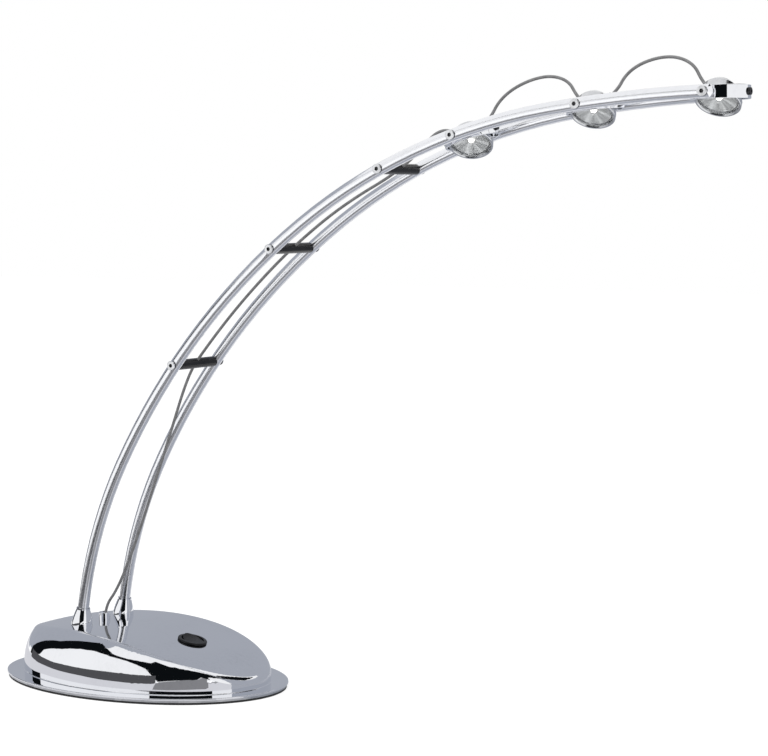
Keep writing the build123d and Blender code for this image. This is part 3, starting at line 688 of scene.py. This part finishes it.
def set_room():
    """White where it is seen, softer where it only lights."""
    world = bpy.data.worlds.new("white_room")
    scene.world = world
    world.use_nodes = True
    tree = world.node_tree
    tree.nodes.clear()
    output = tree.nodes.new("ShaderNodeOutputWorld")
    soft = tree.nodes.new("ShaderNodeBackground")
    soft.inputs["Color"].default_value = (1, 1, 1, 1)
    soft.inputs["Strength"].default_value = ROOM_FILL
    white = tree.nodes.new("ShaderNodeBackground")
    white.inputs["Color"].default_value = (1, 1, 1, 1)
    white.inputs["Strength"].default_value = 1.0
    choose = tree.nodes.new("ShaderNodeMixShader")
    tree.links.new(seen_white(tree), choose.inputs["Fac"])
    tree.links.new(soft.outputs["Background"], choose.inputs[1])
    tree.links.new(white.outputs["Background"], choose.inputs[2])
    tree.links.new(choose.outputs["Shader"], output.inputs["Surface"])


def set_floor():
    """White floor that keeps a soft shadow."""
    material, tree, output = empty_material("white_floor")
    paint = tree.nodes.new("ShaderNodeBsdfDiffuse")
    paint.inputs["Color"].default_value = (*FLOOR_PAINT, 1)
    glow = tree.nodes.new("ShaderNodeEmission")
    glow.inputs["Color"].default_value = (1, 1, 1, 1)
    tree.links.new(combine(tree, "MULTIPLY", seen_white(tree), FLOOR_GLOW), glow.inputs["Strength"])
    both = tree.nodes.new("ShaderNodeAddShader")
    tree.links.new(paint.outputs["BSDF"], both.inputs[0])
    tree.links.new(glow.outputs["Emission"], both.inputs[1])
    tree.links.new(both.outputs["Shader"], output.inputs["Surface"])
    work = bmesh.new()
    bmesh.ops.create_grid(work, x_segments=1, y_segments=1, size=FLOOR_HALF_SIDE)
    link_stage("white_floor", work, material)


def flat_paint(name, colour):
    """Plain glowing paint of a studio flat."""
    material, tree, output = empty_material(name)
    glow = tree.nodes.new("ShaderNodeEmission")
    glow.inputs["Color"].default_value = (*colour, 1)
    glow.inputs["Strength"].default_value = 1.0
    tree.links.new(glow.outputs["Emission"], output.inputs["Surface"])
    return material


def only_in_metal(item):
    """A flat that shows in reflections and nowhere else."""
    item.visible_camera = False
    item.visible_diffuse = False
    item.visible_transmission = False
    item.visible_shadow = False


def sky_point(turn, rise, distance):
    """Point in a direction, given by its bearing from +X and its height angle."""
    level = distance * cos(radians(rise))
    height = distance * sin(radians(rise)) + SKY_CENTRE_HEIGHT
    return Vector((level * cos(radians(turn)), level * sin(radians(turn)), height))


def studio_band(name, distance, upper, lower, colour):
    """Band of paint between two rows of directions."""
    work = bmesh.new()
    edges = []
    for row in (upper, lower):
        verts = [work.verts.new(sky_point(turn, rise, distance)) for turn, rise in row]
        edges += [work.edges.new(pair) for pair in zip(verts, verts[1:])]
    bmesh.ops.bridge_loops(work, edges=edges)
    only_in_metal(link_stage(name, work, flat_paint(name, colour)))


def studio_strip(name, distance, upper, foot_rise, colour):
    """Band whose lower edge keeps one height angle."""
    studio_band(name, distance, upper, [(turn, foot_rise) for turn, rise in upper], colour)


def studio_screen(name, distance, begin, end, low, high, colour):
    """Upright curved screen round part of the studio."""
    work = bmesh.new()
    start_x = distance * cos(radians(begin))
    start_y = distance * sin(radians(begin))
    foot = work.verts.new((start_x, start_y, distance * tan(radians(low))))
    top = work.verts.new((start_x, start_y, distance * tan(radians(high))))
    side = work.edges.new((foot, top))
    bmesh.ops.spin(work, geom=[foot, top, side], cent=(0, 0, 0), axis=(0, 0, 1), dvec=(0, 0, 0),
                   angle=radians(end - begin), steps=SCREEN_STEPS, use_merge=False, use_duplicate=False)
    only_in_metal(link_stage(name, work, flat_paint(name, colour)))


def studio_tile(name, height, corners, colour):
    """Level sheet of coloured paper, on the table or overhead."""
    work = bmesh.new()
    work.faces.new([work.verts.new((x, y, height)) for x, y in corners])
    only_in_metal(link_stage(name, work, flat_paint(name, colour)))


def studio_lamp(name, place, aim, size, power):
    """Soft square lamp that the metal doesn't show."""
    data = bpy.data.lights.new(name, "AREA")
    data.shape = "SQUARE"
    data.size = size
    data.energy = power
    lamp = bpy.data.objects.new(name, data)
    scene.collection.objects.link(lamp)
    lamp.location = place
    lamp.rotation_euler = (Vector(aim) - Vector(place)).to_track_quat("-Z", "Y").to_euler()
    lamp.visible_glossy = False


set_room()
set_floor()
studio_lamp("key_lamp", (-0.9, -1.5, 1.9), (0.1, 0.0, 0.15), 1.3, 16.0)
studio_lamp("fill_lamp", (1.6, -0.6, 1.3), (0.1, 0.0, 0.2), 1.2, 7.0)

# Grey screens behind and beside the lamp, and overhead
studio_screen("grey_backdrop", 0.62, 20, 165, -1.5, 36.0, BLUE_GREY)
studio_screen("right_screen", 0.32, -10.5, 20, 0.2, 36.0, BLUE_GREY)
studio_band("grey_wing", 0.52,
            [(150, 62), (172, 64), (190, 64), (205, 62), (220, 56), (231, 46)],
            [(150, -4), (174, 0), (182, 8), (196, 25), (214, 46), (229, 44)], BLUE_GREY)
studio_tile("grey_canopy", 0.42,
            [(-0.25, -0.10), (-0.19, -0.17), (-0.115, -0.234), (-0.05, -0.221), (0.057, -0.164),
             (0.104, 0.008), (0.086, 0.163), (0.0, 0.5), (-0.35, 0.4)], BLUE_GREY)

# Black flags round the white opening
studio_band("left_flag", 0.50,
            [(172, -4.9), (174, 1.7), (181, 11), (196, 27), (202, 39), (213, 48), (230, 43), (240, 36)],
            [(178, -4.8), (190, 2.1), (192, 8.1), (205, 19), (217, 30), (227, 33), (237, 31.7),
             (240, 31.2)], BLACK)
studio_band("right_flag", 2.0,
            [(234, 38), (242, 35), (251, 32.8), (270, 31), (287, 32.3), (303, 42), (321, 53.7), (345, 60)],
            [(236, 33), (244, 31.5), (253, 28.7), (268, 18.6), (278, -0.5), (291, 2), (303, 3),
             (324, 5)], BLACK)
studio_band("rim_flag", 2.0,
            [(345, 60), (10, 56), (70, 53), (92, 41)],
            [(328, 24), (7, 42), (40, 37), (88, 37)], BLACK)

# Low strips in front
studio_strip("low_dark_strip", 0.32,
             [(180, 0.5), (196, -0.1), (208, 0.9), (223, 2.4), (238, 3.5), (259, 4.6), (283, 5.2)],
             -5.3, DARK_GREY)
studio_strip("front_grey_strip", 0.42,
             [(283, -2.9), (291, -1.3), (299, 0.2), (307, 1.4), (316, 1.4), (322, 1.4)], -4, MID_GREY)

# Paper on the table round the base
studio_tile("left_mat", 0.0012,
            [(-0.32, -0.105), (-0.27, -0.117), (-0.185, -0.148), (-0.128, -0.182), (-0.053, -0.165),
             (0.009, -0.17), (0.049, -0.197), (0.075, -0.32), (0.0, -0.33), (-0.12, -0.31),
             (-0.22, -0.24), (-0.30, -0.14)], DARK_GREY)
studio_tile("front_mat", 0.0014,
            [(0.048, -0.085), (0.076, -0.075), (0.098, -0.064), (0.117, -0.068), (0.231, -0.164),
             (0.335, -0.26), (0.25, -0.345), (0.095, -0.415), (0.075, -0.32)], MID_GREY)
studio_tile("right_mat", 0.0008,
            [(0.100, -0.022), (0.112, -0.028), (0.24, -0.05), (0.24, 0.22), (0.05, 0.22), (0.05, 0.10),
             (0.09, 0.07)], BLUE_GREY)
studio_tile("outer_mat", 0.0007,
            [(-0.35, -0.06), (-0.65, -0.12), (-0.55, -0.42), (-0.28, -0.40), (-0.22, -0.28),
             (-0.30, -0.16)], MID_GREY)
studio_tile("under_mat", 0.0010, [(0.25, -0.22), (0.65, -0.22), (0.65, 0.32), (0.25, 0.32)], PALE_GREY)
studio_tile("pale_table", 0.0006,
            [(-0.42, -0.42), (0.42, -0.42), (0.42, 0.42), (-0.42, 0.42)], TABLE_WHITE)
